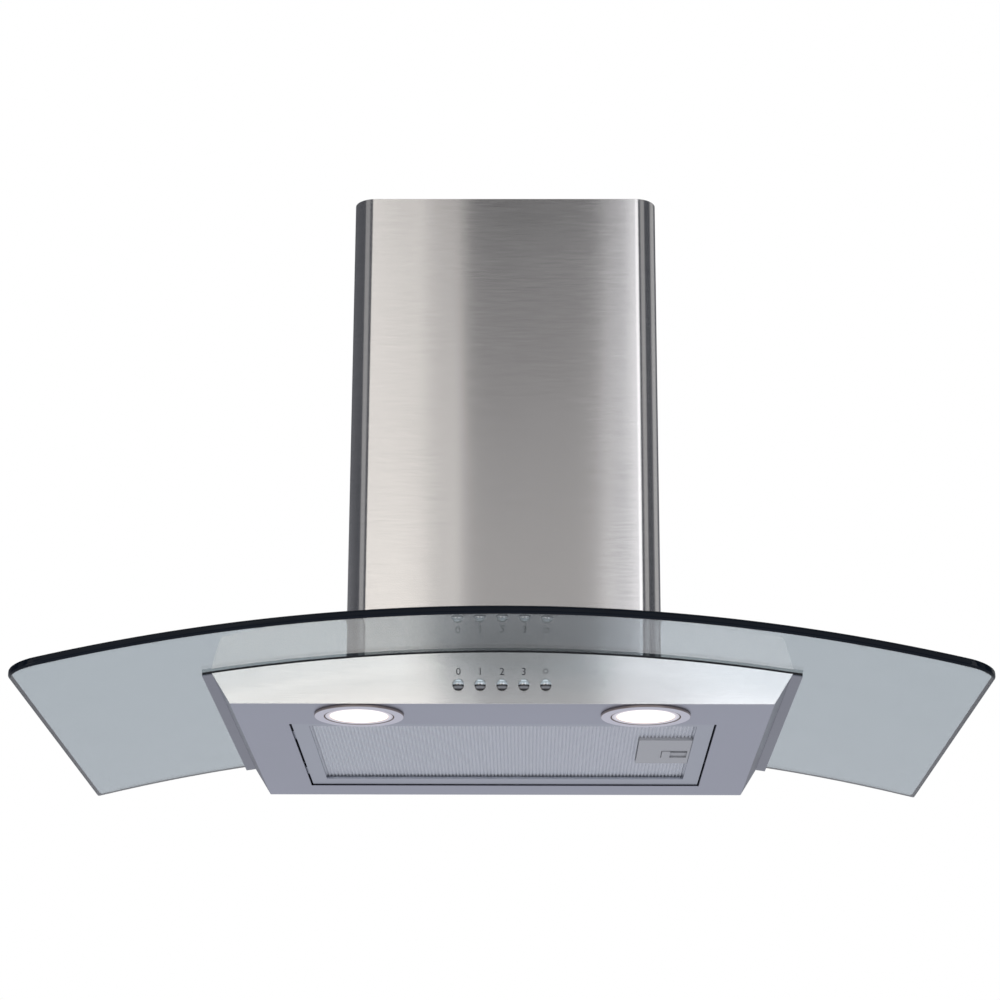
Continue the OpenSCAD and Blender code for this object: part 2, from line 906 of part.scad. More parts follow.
module lamp_bulb(side) {
  color([1, 0.96, 0.85])
    at_lamp(side)
      translate([0, 0, bezel_tube_h + holder_h - holder_t - pin_l + eps - bulb_l])
        union() {
          translate([0, 0, bulb_r]) cylinder(r = bulb_r, h = bulb_l - bulb_r, $fn = 48);
          translate([0, 0, bulb_r]) sphere(r = bulb_r - 0.01, $fn = 48);
          translate([-2, 0, bulb_l - eps]) cylinder(r = 0.6, h = pin_l, $fn = 16);
          translate([2, 0, bulb_l - eps]) cylinder(r = 0.6, h = pin_l, $fn = 16);
        }
}

module lamp_holder(side) {
  color("silver")
    at_lamp(side)
      translate([0, 0, bezel_tube_h])
        difference() {
          cylinder(r = holder_r, h = holder_h, $fn = 96);
          translate([0, 0, -eps])
            cylinder(r = holder_r - holder_t, h = holder_h - holder_t + eps, $fn = 96);
        }
}

module lamp_transformer() {
  w = 64;
  d = 26;
  h = 20;
  ear = 5;
  ear_in = 6;
  ear_t = 2;
  front = bank_front + bank_d + 6;
  base = under_z + sheet_t;
  color([0.2, 0.2, 0.24])
    union() {
      block([-w / 2, front, base], [w / 2, front + d, base + h]);
      block([-w / 2 - ear, front + ear_in, base], [w / 2 + ear, front + d - ear_in, base + ear_t]);
    }
}

module filter_frame() {
  groove = mesh_lip + mesh_gap;
  low = [-filter_half + border_side, filter_front + border_front];
  high = [filter_half - border_side, filter_back - border_back];
  color([0.62, 0.64, 0.68])
    difference() {
      block([-filter_half, filter_front, filter_z], [filter_half, filter_back, filter_z + filter_t]);
      block([low[0], low[1], filter_z - eps], [high[0], high[1], filter_z + filter_t + eps]);
      block([low[0] - groove, low[1] - groove, mesh_z - mesh_gap],
            [high[0] + groove, high[1] + groove, mesh_z + mesh_h + mesh_gap]);
      block([high[0] - eps, bolt_y - bolt_w / 2 - latch_fit, bolt_z - latch_fit],
            [filter_half + eps, bolt_y + bolt_w / 2 + latch_fit, bolt_z + bolt_t + latch_fit]);
    }
}

// The pleated mesh, with a notch for the latch housing
module filter_mesh() {
  half = filter_half - border_side + mesh_lip;
  front = filter_front + border_front - mesh_lip;
  back = filter_back - border_back + mesh_lip;
  folds = floor(2 * half / pleat_pitch) * 2;
  step = 2 * half / folds;
  rise = mesh_h - mesh_sheet;
  color([0.7, 0.73, 0.77])
    difference() {
      drawn_out(back, back - front)
        polygon(concat(
          [for (i = [0 : folds]) [-half + i * step, mesh_z + (i % 2) * rise]],
          [for (i = [folds : -1 : 0]) [-half + i * step, mesh_z + (i % 2) * rise + mesh_sheet]]
        ));
      block([latch_left - mesh_gap, latch_y - latch_d / 2 - mesh_gap, mesh_z - eps],
            [half + eps, latch_y + latch_d / 2 + mesh_gap, mesh_z + mesh_h + eps]);
    }
}

module filter_tongues() {
  filter_mid = (filter_front + filter_back) / 2;
  color([0.55, 0.57, 0.6])
    for (y = [-tongue_y, tongue_y])
      translate([-filter_half - tongue_l, filter_mid + y - tongue_w / 2, tongue_z])
        cube([tongue_l, tongue_w, tongue_t]);
}

module latch_housing() {
  half = latch_d / 2;
  chan = bolt_w / 2 + latch_fit;
  color([0.6, 0.6, 0.62])
    difference() {
      block([latch_left, latch_y - half, latch_low], [latch_right, latch_y + half, latch_top]);
      block([slot_left, slot_y - slot_d / 2, latch_low - eps],
            [slot_right, slot_y + slot_d / 2, latch_top - latch_wall]);
      block([latch_left + latch_wall, bolt_y - chan, bolt_z - latch_fit],
            [latch_right + eps, bolt_y + chan, bolt_z + bolt_t + latch_fit]);
    }
}

// The bolt with its neck and thumb pad; it moves towards +X to hold the filter
module latch_slider() {
  pad_half = slot_d / 2 - latch_fit;
  low = bolt_y - bolt_w / 2;
  high = bolt_y + bolt_w / 2;
  color([0.8, 0.8, 0.82])
    union() {
      block([slot_left + latch_fit, low, bolt_z], [bolt_tip, high, bolt_z + bolt_t]);
      block([slot_left + pad_w - neck_t, low, latch_low - pad_t / 2],
            [slot_left + pad_w, high, bolt_z + bolt_t / 2]);
      block([slot_left + latch_fit, slot_y - pad_half, latch_low - pad_t],
            [slot_left + pad_w, slot_y + pad_half, latch_low + pad_t / 2]);
    }
}

module terminal_box() {
  x = terminal_x;
  y = terminal_y;
  color([0.9, 0.9, 0.88])
    difference() {
      block([x[0], y[0], box_top], [x[1], y[1], box_top + terminal_h]);
      block([x[0] + terminal_t, y[0] + terminal_t, box_top + terminal_t],
            [x[1] - terminal_t, y[1] - terminal_t, box_top + terminal_h + eps]);
      translate([loom_end[0], loom_end[1], box_top - eps])
        cylinder(r = loom_hole_r, h = terminal_t + 2 * eps, $fn = 32);
    }
}

module terminal_cover() {
  x = terminal_x;
  y = terminal_y;
  z = box_top + terminal_h;
  mid = (x[0] + x[1]) / 2;
  color([0.9, 0.9, 0.88])
    difference() {
      block([x[0], y[0], z], [x[1], y[1], z + terminal_t]);
      translate([mid, gland_y, z - eps])
        cylinder(r = gland_neck_r + skin_gap, h = terminal_t + 2 * eps, $fn = 48);
    }
}

module cable_gland() {
  mid = (terminal_x[0] + terminal_x[1]) / 2;
  z = box_top + terminal_h;
  color([0.1, 0.1, 0.1])
    translate([mid, gland_y, z])
      difference() {
        union() {
          translate([0, 0, terminal_t]) cylinder(r = gland_r, h = gland_l - gland_tail, $fn = 48);
          translate([0, 0, -gland_tail]) cylinder(r = gland_neck_r, h = gland_l, $fn = 48);
        }
        translate([0, 0, -gland_tail - eps])
          cylinder(r = gland_bore_r, h = gland_l + terminal_t + 2 * eps, $fn = 48);
      }
}

// A straight run of the loom between two points
module loom_run(a, b) {
  d = b - a;
  l = norm(d);
  translate(a)
    rotate([0, acos(d[2] / l), atan2(d[1], d[0])])
      cylinder(r = loom_r, h = l, $fn = 24);
}

module wiring_loom() {
  color([0.15, 0.15, 0.16])
    union() {
      for (i = [0 : len(loom_route) - 2])
        loom_run(loom_route[i], loom_route[i + 1]);
      for (i = [1 : len(loom_route) - 2])
        translate(loom_route[i]) sphere(r = loom_r + 0.02, $fn = 24);
    }
}

body_shell();
front_fascia();
top_deck();
glass_canopy();
glass_seal();
glass_bushes();
air_gasket();
clamp_bolts();
clamp_nuts();
motor_box();
blower_scroll();
scroll_cover();
motor_housing();
motor_bracket();
motor_shaft();
impeller();
run_capacitor();
outlet_collar();
flap_pins();
return_flap_left();
return_flap_right();
chimney_lower();
chimney_feet();
chimney_upper();
ceiling_bracket();
switch_bank();
push_button(-2);  // button_off
push_button(-1);  // button_speed_1
push_button(0);  // button_speed_2
push_button(1);  // button_speed_3
push_button(2);  // button_light
button_spring(-2);  // spring_off
button_spring(-1);  // spring_speed_1
button_spring(0);  // spring_speed_2
button_spring(1);  // spring_speed_3
button_spring(2);  // spring_light
lamp_bezel(-1);  // lamp_bezel_left
lamp_bezel(1);  // lamp_bezel_right
lamp_trim(-1);  // lamp_trim_left
lamp_trim(1);  // lamp_trim_right
lamp_glass(-1);  // lamp_glass_left
lamp_glass(1);  // lamp_glass_right
lamp_bulb(-1);  // lamp_bulb_left
lamp_bulb(1);  // lamp_bulb_right
lamp_holder(-1);  // lamp_holder_left
lamp_holder(1);  // lamp_holder_right
lamp_transformer();
filter_frame();
filter_mesh();
filter_tongues();
latch_housing();
latch_slider();
terminal_box();
terminal_cover();
cable_gland();
wiring_loom();
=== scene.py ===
"""Looks of a wall chimney hood with a curved glass canopy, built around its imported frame.

Metres, +Z up. The wall is the plane Y = 0, the front faces -Y, and the origin is the centre
of the wall screw pattern of the motor box.
"""

import json
import math

import bmesh
import bpy
from mathutils import Matrix, Vector
from mathutils.geometry import delaunay_2d_cdt


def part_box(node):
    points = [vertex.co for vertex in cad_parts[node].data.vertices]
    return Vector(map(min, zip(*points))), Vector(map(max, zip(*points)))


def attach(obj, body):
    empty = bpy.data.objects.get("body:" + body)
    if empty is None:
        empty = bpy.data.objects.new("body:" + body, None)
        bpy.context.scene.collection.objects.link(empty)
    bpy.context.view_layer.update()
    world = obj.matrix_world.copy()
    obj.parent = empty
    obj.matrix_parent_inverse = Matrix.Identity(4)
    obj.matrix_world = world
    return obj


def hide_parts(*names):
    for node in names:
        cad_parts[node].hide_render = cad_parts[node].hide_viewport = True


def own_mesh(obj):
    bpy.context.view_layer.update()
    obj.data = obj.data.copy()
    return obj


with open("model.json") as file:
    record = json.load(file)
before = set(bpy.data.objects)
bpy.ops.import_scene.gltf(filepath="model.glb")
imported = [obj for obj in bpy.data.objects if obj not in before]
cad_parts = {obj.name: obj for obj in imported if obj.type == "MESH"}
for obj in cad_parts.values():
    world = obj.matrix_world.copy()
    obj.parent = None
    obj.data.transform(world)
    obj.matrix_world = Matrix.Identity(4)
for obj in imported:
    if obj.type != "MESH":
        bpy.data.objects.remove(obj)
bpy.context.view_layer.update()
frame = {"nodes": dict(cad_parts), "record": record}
MM = 0.001

# Places worked out from the frame
UNDER_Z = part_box("body_shell")[0].z
FASCIA_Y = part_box("front_fascia")[0].y
GLASS_LOW, GLASS_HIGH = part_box("glass_canopy")
CHIMNEY_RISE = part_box("chimney_lower")[1].z - UNDER_Z
FASCIA_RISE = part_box("front_fascia")[1].z - UNDER_Z
BODY_HALF = 231 * MM  # just beyond the flat underside

# Glass canopy
GLASS_T = 7 * MM
BEND_R = 1640 * MM
GLASS_CORNER_R = 24 * MM
POLISH_R = 2.2 * MM
POLISH_STEPS = 4
GLASS_SPACING = 14 * MM  # between the points inside its two faces
AIR_HALF = 110 * MM
AIR_FRONT = -224 * MM
AIR_BACK = -16 * MM
AIR_CORNER_R = 14 * MM
BUSH_R = 6 * MM
CLAMP_X = 127 * MM
CLAMP_Y = (-40 * MM, -200 * MM)
BEND_Z = GLASS_HIGH.z - BEND_R - GLASS_T

# Height of the outlet collar's base over the motor box
COLLAR_BASE_T = 20 * MM

# Screws that are seen only
SCREW_INSET = 8 * MM
COLLAR_SCREW_R = 3.6 * MM
COVER_SCREW_R = 2.6 * MM

# Lamps
BEZEL_WIDTH = 6.9 * MM
BEZEL_WALL = 1.6 * MM
LAMP_GLASS_R = (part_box("lamp_glass_left")[1].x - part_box("lamp_glass_left")[0].x) / 2
# Reach of the painted glow on the bezel, out from the lamp glass
PAINTED_GLOW_REACH = 7 * MM

# Buttons and their marks
BUTTON_NAMES = ["off", "speed_1", "speed_2", "speed_3", "light"]
MARK_HEIGHT = 6.5 * MM
MARK_LIFT = 11.8 * MM
MARK_T = 0.05 * MM
FONT_HEIGHT = 1.37  # size of the font over the height of its digits
FLANGE_RIM = 1.2 * MM
FLANGE_T = 1 * MM
STEM_R = 2.5 * MM
SPRING_WIRE_R = 0.45 * MM

# Shading
SHARP = math.radians(40)
TURNED_SHARP = math.radians(35)

# Studio: what the lights aim at, and the floor
AIM = (0, -0.3, 0)
FLOOR_HALF = 26.0
FLOOR_LEVEL = -4.4

# Camera: its place, how far it looks up, aside and over, and its lens
CAMERA_PLACE = Vector((21.8, -2593.7, -749.6)) * MM
PITCH, YAW, ROLL = 0.3107, -0.0109, 0.0041
LENS = 96.72


# ---------------------------------------------------------------- materials


class Field:
    """A value that varies over a surface, in the node tree of one finish."""

    def __init__(self, finish, socket):
        self.finish = finish
        self.socket = socket

    def _math(self, operation, *values):
        settings = {"operation": operation}
        return self.finish.add("ShaderNodeMath", settings, dict(enumerate(values)))

    def __add__(self, other):
        return self._math("ADD", self, other)

    def __radd__(self, other):
        return self._math("ADD", other, self)

    def __sub__(self, other):
        return self._math("SUBTRACT", self, other)

    def __rsub__(self, other):
        return self._math("SUBTRACT", other, self)

    def __mul__(self, other):
        return self._math("MULTIPLY", self, other)

    def __rmul__(self, other):
        return self._math("MULTIPLY", other, self)

    def __truediv__(self, other):
        return self._math("DIVIDE", self, other)

    def __pow__(self, other):
        return self._math("POWER", self, other)

    def __gt__(self, other):
        return self._math("GREATER_THAN", self, other)

    def __abs__(self):
        return self._math("ABSOLUTE", self)

    def sine(self):
        return self._math("SINE", self)

    def clamped(self):
        return self._math("MAXIMUM", self._math("MINIMUM", self, 1.0), 0.0)


class Nodes:
    """A node tree that is built one node at a time."""

    def __init__(self, tree, shader):
        self.tree = tree
        self.shader = tree.nodes[shader]

    def add(self, kind, settings=None, inputs=None, output=0):
        """Adds a node: its settings first, then the values or links of its sockets."""
        node = self.tree.nodes.new(kind)
        for key, value in (settings or {}).items():
            setattr(node, key, value)
        for key, value in (inputs or {}).items():
            self.feed(node.inputs[key], value)
        return Field(self, node.outputs[output])

    def feed(self, socket, value):
        if isinstance(value, Field):
            self.tree.links.new(value.socket, socket)
        else:
            socket.default_value = value

    def set(self, **inputs):
        """Sets or links the shader's own sockets."""
        for socket, value in inputs.items():
            self.feed(self.shader.inputs[socket.replace("_", " ")], value)

    def blend(self, factor, low, high):
        """A colour between two colours."""
        inputs = {0: factor, 6: self.colour(low), 7: self.colour(high)}
        return self.add("ShaderNodeMix", {"data_type": "RGBA"}, inputs, 2)

    def colour(self, value):
        return value if isinstance(value, Field) else (*value, 1.0)


class Finish(Nodes):
    """A material, its shader and the nodes that vary it."""

    def __init__(self, name, **constants):
        self.material = bpy.data.materials.new(name)
        self.material.use_nodes = True
        super().__init__(self.material.node_tree, "Principled BSDF")
        self.set(**constants)

    def place(self, scale=(1, 1, 1)):
        """The point on the surface in the row frame, stretched by scale."""
        point = self.add("ShaderNodeTexCoord", output="Object")
        return self.add("ShaderNodeMapping", None, {"Vector": point, "Scale": scale})

    def axis(self, name):
        """One coordinate of the point on the surface, in metres."""
        return self.add("ShaderNodeSeparateXYZ", None, {0: self.place()}, name)

    def facing(self, name):
        """One coordinate of the surface's direction, which turns with its body."""
        normal = self.add("ShaderNodeTexCoord", output="Normal")
        return self.add("ShaderNodeSeparateXYZ", None, {0: normal}, name)

    def noise(self, scale, detail=2.0, roughness=0.5):
        inputs = {"Vector": self.place(scale), "Scale": 1.0}
        inputs.update({"Detail": detail, "Roughness": roughness})
        return self.add("ShaderNodeTexNoise", None, inputs)

    def bump(self, height, distance, strength=1.0, normal=None):
        inputs = {"Height": height, "Distance": distance, "Strength": strength}
        if normal:
            inputs["Normal"] = normal
        return self.add("ShaderNodeBump", None, inputs)


def brushed_sheet(name, colour, rough, grain=0.12, bow=None, painted_shading=None, **constants):
    """Brushed stainless with level grain.

    bow is (centre, reach, lean): the surface leans sideways as if bent, towards lean radians
    well beyond reach metres from its centre. The sixth argument makes a field of painted light
    and shade that is added to the shade.
    """
    steel = Finish(name, Metallic=1.0, **constants)
    upright = steel.noise((45, 45, 1100), 3.0, 0.6)
    level = steel.noise((45, 1100, 45), 3.0, 0.6)
    lying = abs(steel.facing("Z")) > 0.8
    lines = lying * level + (1 - lying) * upright
    cloud = steel.noise((7, 7, 7), 3.0)
    shade = (lines - 0.5) * 2 * grain + (cloud - 0.5) * 0.15 + 0.5
    # Painted light and shade from the caller's field goes into the sheet's colour here
    if painted_shading:
        shade = shade + painted_shading(steel)
    dark = tuple(c * 0.6 for c in colour)
    light = tuple(min(c * 1.4, 1.0) for c in colour)
    steel.set(Base_Color=steel.blend(shade.clamped(), dark, light))
    steel.set(Roughness=rough + (lines - 0.5) * 0.1 + (cloud - 0.5) * 0.05)
    sweep = None
    if bow:
        centre, reach, lean = bow
        x = steel.axis("X") - centre
        sweep = steel.bump(0 - (x * x + reach * reach) ** 0.5, lean)
    steel.set(Normal=steel.bump(lines, 0.01 * MM, 0.12, sweep))
    return steel


ACROSS_GRAIN = {"Anisotropic": 0.95, "Anisotropic_Rotation": 0.25}


def middle(finish, half):
    """One in the middle of the hood, falling to nothing half metres to each side."""
    x = finish.axis("X") / half
    return (1 - x * x).clamped()


def shaded_walls(steel):
    """Painted shade: darkens the leaning sides of the body and the deck that shows beyond them."""
    beyond = abs(steel.axis("X")) > BODY_HALF
    below = 1 - (steel.facing("Z") > 0.5)
    return beyond * below * -0.9


def shaded_brow(steel):
    """Painted shade: darkens the upper middle of the fascia, under the glass."""
    upper = (steel.axis("Z") - UNDER_Z) / FASCIA_RISE
    return middle(steel, 85 * MM) * upper.clamped() * -0.55


def shaded_top(steel):
    """Painted light and shade: lightens the middle of the chimney low down and darkens it upwards.
    """
    upper = (steel.axis("Z") - UNDER_Z) / CHIMNEY_RISE
    return middle(steel, 120 * MM) * (0.22 - upper * 0.47)


def body_steel():
    return brushed_sheet("body_steel", (0.405, 0.415, 0.48), 0.34, 0.06, painted_shading=shaded_walls)


def fascia_steel():
    bow = (10 * MM, 90 * MM, math.radians(10.5))
    look = ("fascia_steel", (0.97, 0.925, 0.885), 0.24, 0.05)
    return brushed_sheet(*look, bow, shaded_brow, **ACROSS_GRAIN)


def chimney_steel():
    bow = (2 * MM, 600 * MM, math.radians(47.7))
    look = ("chimney_steel", (0.7, 0.68, 0.66), 0.23, 0.1)
    return brushed_sheet(*look, bow, shaded_top, **ACROSS_GRAIN)


def canopy_glass():
    glass = Finish(
        "canopy_glass", Transmission_Weight=1.0, IOR=1.5, Roughness=0.0, Metallic=0.0
    )
    dust = glass.noise((30, 30, 30), 3.0)
    glass.set(Base_Color=glass.blend(dust, (0.36, 0.415, 0.445), (0.385, 0.44, 0.47)))
    return glass


def canopy_edge():
    edge = Finish("canopy_edge", Metallic=0.0, IOR=1.25)
    wave = edge.noise((60, 60, 60), 2.0)
    edge.set(Base_Color=edge.blend(wave, (0.0025, 0.005, 0.01), (0.005, 0.009, 0.016)))
    edge.set(Roughness=0.06 + wave * 0.05)
    return edge


def seal_rubber():
    rubber = Finish("seal_rubber", IOR=1.45)
    grain = rubber.noise((900, 900, 900), 3.0)
    rubber.set(Base_Color=rubber.blend(grain, (0.012, 0.012, 0.014), (0.03, 0.03, 0.034)))
    rubber.set(Roughness=0.7 + grain * 0.15, Normal=rubber.bump(grain, 0.05 * MM, 0.4))
    return rubber


def zinc_coat(name, colour, spangle):
    """Zinc coated steel: flat crystals of slightly different grey."""
    zinc = Finish(name, Metallic=1.0)
    inputs = {"Vector": zinc.place((spangle, spangle, spangle)), "Scale": 1.0}
    cells = zinc.add("ShaderNodeTexVoronoi", None, inputs, "Color")
    grey = zinc.add("ShaderNodeSeparateColor", None, {0: cells})
    haze = zinc.noise((14, 14, 14), 4.0)
    shade = grey * 0.5 + haze * 0.5
    low = tuple(c * 0.7 for c in colour)
    zinc.set(Base_Color=zinc.blend(shade, low, colour))
    zinc.set(Roughness=0.32 + grey * 0.2, Normal=zinc.bump(grey, 0.02 * MM, 0.3))
    return zinc


def fastener_steel():
    return zinc_coat("fastener_steel", (0.72, 0.72, 0.7), 900)


def zinc_sheet():
    return zinc_coat("zinc_sheet", (0.66, 0.68, 0.7), 120)


def moulded(name, low, high, rough, pitch=1400):
    """Moulded plastic with a fine spark-eroded texture."""
    plastic = Finish(name, IOR=1.48)
    skin = plastic.noise((pitch, pitch, pitch), 3.0, 0.6)
    flow = plastic.noise((12, 12, 12), 3.0)
    plastic.set(Base_Color=plastic.blend(flow * 0.7 + skin * 0.3, low, high))
    plastic.set(Roughness=rough + (skin - 0.5) * 0.2)
    plastic.set(Normal=plastic.bump(skin, 0.04 * MM, 0.35))
    return plastic


def black_plastic():
    return moulded("black_plastic", (0.018, 0.018, 0.02), (0.035, 0.035, 0.038), 0.5)


def white_plastic():
    return moulded("white_plastic", (0.72, 0.72, 0.69), (0.82, 0.82, 0.79), 0.42)


def latch_grey():
    return moulded("latch_grey", (0.4, 0.405, 0.42), (0.46, 0.465, 0.48), 0.4)


def motor_alloy():
    cast = Finish("motor_alloy", Metallic=1.0)
    grain = cast.noise((700, 700, 700), 4.0, 0.6)
    cast.set(Base_Color=cast.blend(grain, (0.5, 0.5, 0.51), (0.68, 0.68, 0.69)))
    cast.set(Roughness=0.45 + grain * 0.15, Normal=cast.bump(grain, 0.1 * MM, 0.5))
    return cast


def button_chrome():
    chrome = Finish("button_chrome", Metallic=1.0)
    haze = chrome.noise((300, 300, 300), 3.0)
    bright = chrome.blend(haze, (0.8, 0.81, 0.83), (0.9, 0.9, 0.91))
    # Painted reflection: the lower half of each dome is darkened in bands, as if it mirrored a dark
    # floor
    level = chrome.facing("Z")
    painted_reflection_bands = ((level + 0.2) * (math.tau / 0.65) + math.pi / 2).sine()
    under = (0 - level * 6).clamped() * (0.81 + painted_reflection_bands * 0.16)
    chrome.set(Base_Color=chrome.blend(under, bright, (0.01, 0.01, 0.012)))
    chrome.set(Roughness=0.05 + haze * 0.06)
    return chrome


def spring_steel():
    wire = Finish("spring_steel", Metallic=1.0)
    draw = wire.noise((1500, 1500, 1500), 3.0)
    wire.set(Base_Color=wire.blend(draw, (0.38, 0.38, 0.39), (0.6, 0.6, 0.6)))
    wire.set(Roughness=0.25 + draw * 0.15)
    return wire


def bezel_steel():
    """Satin lacquered steel of the lamp rings, with painted shade on their sides
    and a painted glow near the lamp glass.
    """
    satin = Finish("bezel_steel", Metallic=0.3)
    turned = satin.noise((400, 400, 400), 3.0)
    lacquer = satin.blend(turned, (0.66, 0.64, 0.71), (0.74, 0.72, 0.79))
    # Painted shade: the ring's sides, all but its downward face, are darkened to a dark bronze
    rim = satin.facing("Z") > -0.9
    satin.set(Base_Color=satin.blend(rim * 0.8, lacquer, (0.16, 0.11, 0.08)))
    satin.set(Roughness=0.26 + turned * 0.1, Normal=satin.bump(turned, 0.02 * MM, 0.3))
    # Painted light: the ring glows near the lamp glass as if lit by the lamp, though it is no lamp
    past = (from_lamp(satin) - LAMP_GLASS_R) / PAINTED_GLOW_REACH
    glow = (1 - past).clamped() ** 2
    satin.set(Emission_Color=satin.blend(glow, (0, 0, 0), (1.0, 0.9, 0.86)), Emission_Strength=0.35)
    return satin


def from_lamp(finish):
    """Distance in plan from the middle of the nearer lamp."""
    centre = sum(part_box("lamp_glass_left"), Vector()) / 2
    x = abs(finish.axis("X")) - abs(centre.x)
    y = finish.axis("Y") - centre.y
    return (x * x + y * y) ** 0.5


def lit_glass(name, core, rim, strength):
    """Frosted glass over a burning lamp: brightest over the lamp itself."""
    glass = Finish(name, Roughness=0.35, Emission_Strength=strength)
    away = from_lamp(glass) / LAMP_GLASS_R
    frost = glass.noise((500, 500, 500), 3.0)
    fade = (away ** 5 + (frost - 0.5) * 0.1).clamped()
    glass.set(Base_Color=glass.blend(frost, (0.8, 0.78, 0.72), (0.9, 0.88, 0.84)))
    glass.set(Emission_Color=glass.blend(fade, core, rim))
    glass.set(Normal=glass.bump(frost, 0.08 * MM, 0.4))
    return glass


def lamp_glass():
    return lit_glass("lamp_glass", (1.0, 0.97, 0.93), (0.78, 0.64, 0.57), 1.15)


def bulb_glass():
    return lit_glass("bulb_glass", (1.0, 0.92, 0.75), (1.0, 0.85, 0.6), 6.0)


def reflector():
    mirror = Finish("reflector", Metallic=1.0)
    spin = mirror.noise((60, 60, 1800), 3.0)
    mirror.set(Base_Color=mirror.blend(spin, (0.75, 0.75, 0.76), (0.88, 0.88, 0.88)))
    mirror.set(Roughness=0.12 + spin * 0.12)
    return mirror


def filter_alloy():
    return brushed_sheet("filter_alloy", (0.46, 0.48, 0.53), 0.38, 0.06)


def mesh_alloy():
    """Expanded aluminium: rows of small diamond holes, drawn as dark specks of painted shade in
    bright wire.
    """
    mesh = Finish("mesh_alloy", Metallic=0.55)
    pitch = 1.1 * MM
    row = mesh.axis("X") / pitch
    step = mesh.axis("Y") / (pitch * 1.7)
    lobes = (row * math.tau).sine() * (step * math.tau).sine()
    grit = mesh.noise((1800, 1800, 1800), 2.0)
    wire = (lobes * 0.5 + 0.5 + (grit - 0.5) * 0.5).clamped()
    mesh.set(Base_Color=mesh.blend(wire, (0.5, 0.52, 0.57), (0.97, 0.98, 1.0)))
    mesh.set(Roughness=0.3 + grit * 0.25, Normal=mesh.bump(wire, 0.25 * MM, 0.6))
    return mesh


def mark_ink():
    ink = Finish("mark_ink", Metallic=0.0)
    tone = ink.noise((2000, 2000, 2000), 2.0)
    ink.set(Base_Color=ink.blend(tone, (0.03, 0.03, 0.035), (0.06, 0.06, 0.065)))
    ink.set(Roughness=0.5 + tone * 0.1)
    return ink


FINISHES = {
    make.__name__: make().material
    for make in (
        body_steel,
        chimney_steel,
        canopy_glass,
        seal_rubber,
        fastener_steel,
        zinc_sheet,
        black_plastic,
        motor_alloy,
        white_plastic,
        button_chrome,
        spring_steel,
        bezel_steel,
        lamp_glass,
        bulb_glass,
        reflector,
        filter_alloy,
        mesh_alloy,
        latch_grey,
    )
}
FASCIA_FINISH = fascia_steel().material
EDGE_FINISH = canopy_edge().material
INK_FINISH = mark_ink().material


def dress(part, finish):
    """Puts one finish on every material slot of a part."""
    if not part.material_slots:
        part.data.materials.append(finish)
    for place in part.material_slots:
        place.material = finish


SLOT_OF = {part["node"]: part["material_slot"] for part in frame["record"]["subparts"]}
for node_name, node_slot in SLOT_OF.items():
    dress(frame["nodes"][node_name], FINISHES[node_slot])
dress(frame["nodes"]["front_fascia"], FASCIA_FINISH)


# ------------------------------------------------------------------- pieces


def put(name, data):
    """Puts an object with this data into the scene."""
    made = bpy.data.objects.new(name, data)
    bpy.context.scene.collection.objects.link(made)
    return made


def closed(form):
    """Turns a closed form's faces outwards and shades them smooth."""
    bmesh.ops.recalc_face_normals(form, faces=form.faces)
    smooth(form)


def smooth(form):
    for face in form.faces:
        face.smooth = True


def add_piece(name, form, body, slot, finish=None, replaces=()):
    """Makes a piece from a bmesh or a mesh, hangs it on the body it rides on and hides the nodes it
    replaces.
    """
    mesh = form
    if isinstance(form, bmesh.types.BMesh):
        mesh = bpy.data.meshes.new(name)
        form.to_mesh(mesh)
        form.free()
    part = put(name, mesh)
    if not mesh.materials:
        dress(part, finish or FINISHES[slot])
    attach(part, body)
    if replaces:
        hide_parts(*replaces)
    return part


def body_holding(node):
    bodies = frame["record"]["behaviour"]["bodies"]
    return next(body for body, nodes in bodies.items() if node in nodes)


def softened(node, width, segments=2, angle=30):
    """A copy of a CAD node with its sharp edges rounded, which stands for it."""
    form = bmesh.new()
    form.from_mesh(frame["nodes"][node].data)
    bmesh.ops.remove_doubles(form, verts=form.verts, dist=0.002 * MM)
    flat = math.radians(0.5)
    bmesh.ops.dissolve_limit(form, angle_limit=flat, verts=form.verts, edges=form.edges)
    sharp = [
        edge
        for edge in form.edges
        if len(edge.link_faces) == 2 and edge.calc_face_angle() > math.radians(angle)
    ]
    bmesh.ops.bevel(
        form,
        geom=sharp,
        offset=width,
        offset_type="OFFSET",
        segments=segments,
        profile=0.5,
        affect="EDGES",
        clamp_overlap=True,
    )
    smooth(form)
    finish = frame["nodes"][node].material_slots[0].material
    part = add_piece(node + "_soft", form, body_holding(node), SLOT_OF[node], finish, [node])
    part.data.set_sharp_from_angle(angle=SHARP)
    shade_evenly(part)
    return part


def shade_evenly(part):
    """Keeps broad faces flat and lets only the narrow rounded edges catch the light."""
    even = part.modifiers.new("even_shading", "WEIGHTED_NORMAL")
    even.keep_sharp = True
    even.weight = 90


def bend_point(x, y, rise):
    """A point of the bent glass at plan place x, y and height rise over its underside."""
    radius = BEND_R + rise
    return Vector((x, y, BEND_Z + math.sqrt(radius * radius - x * x)))


def bend_normal(x, sign):
    return Vector((x / BEND_R, 0, math.sqrt(1 - (x / BEND_R) ** 2))) * sign


def arc(cx, cy, radius, start, end, steps):
    """Plan points of an arc with their outward directions, angles in degrees."""
    angles = [math.radians(start + (end - start) * i / steps) for i in range(steps + 1)]
    return [
        ((cx + radius * math.cos(a), cy + radius * math.sin(a)), (math.cos(a), math.sin(a)))
        for a in angles
    ]


def straight(start, end, out, spacing=12 * MM):
    """Plan points between two corners, without the corners, and their outward direction."""
    a, b = Vector(start), Vector(end)
    count = max(2, round((b - a).length / spacing))
    return [(tuple(a.lerp(b, i / count)), out) for i in range(1, count)]


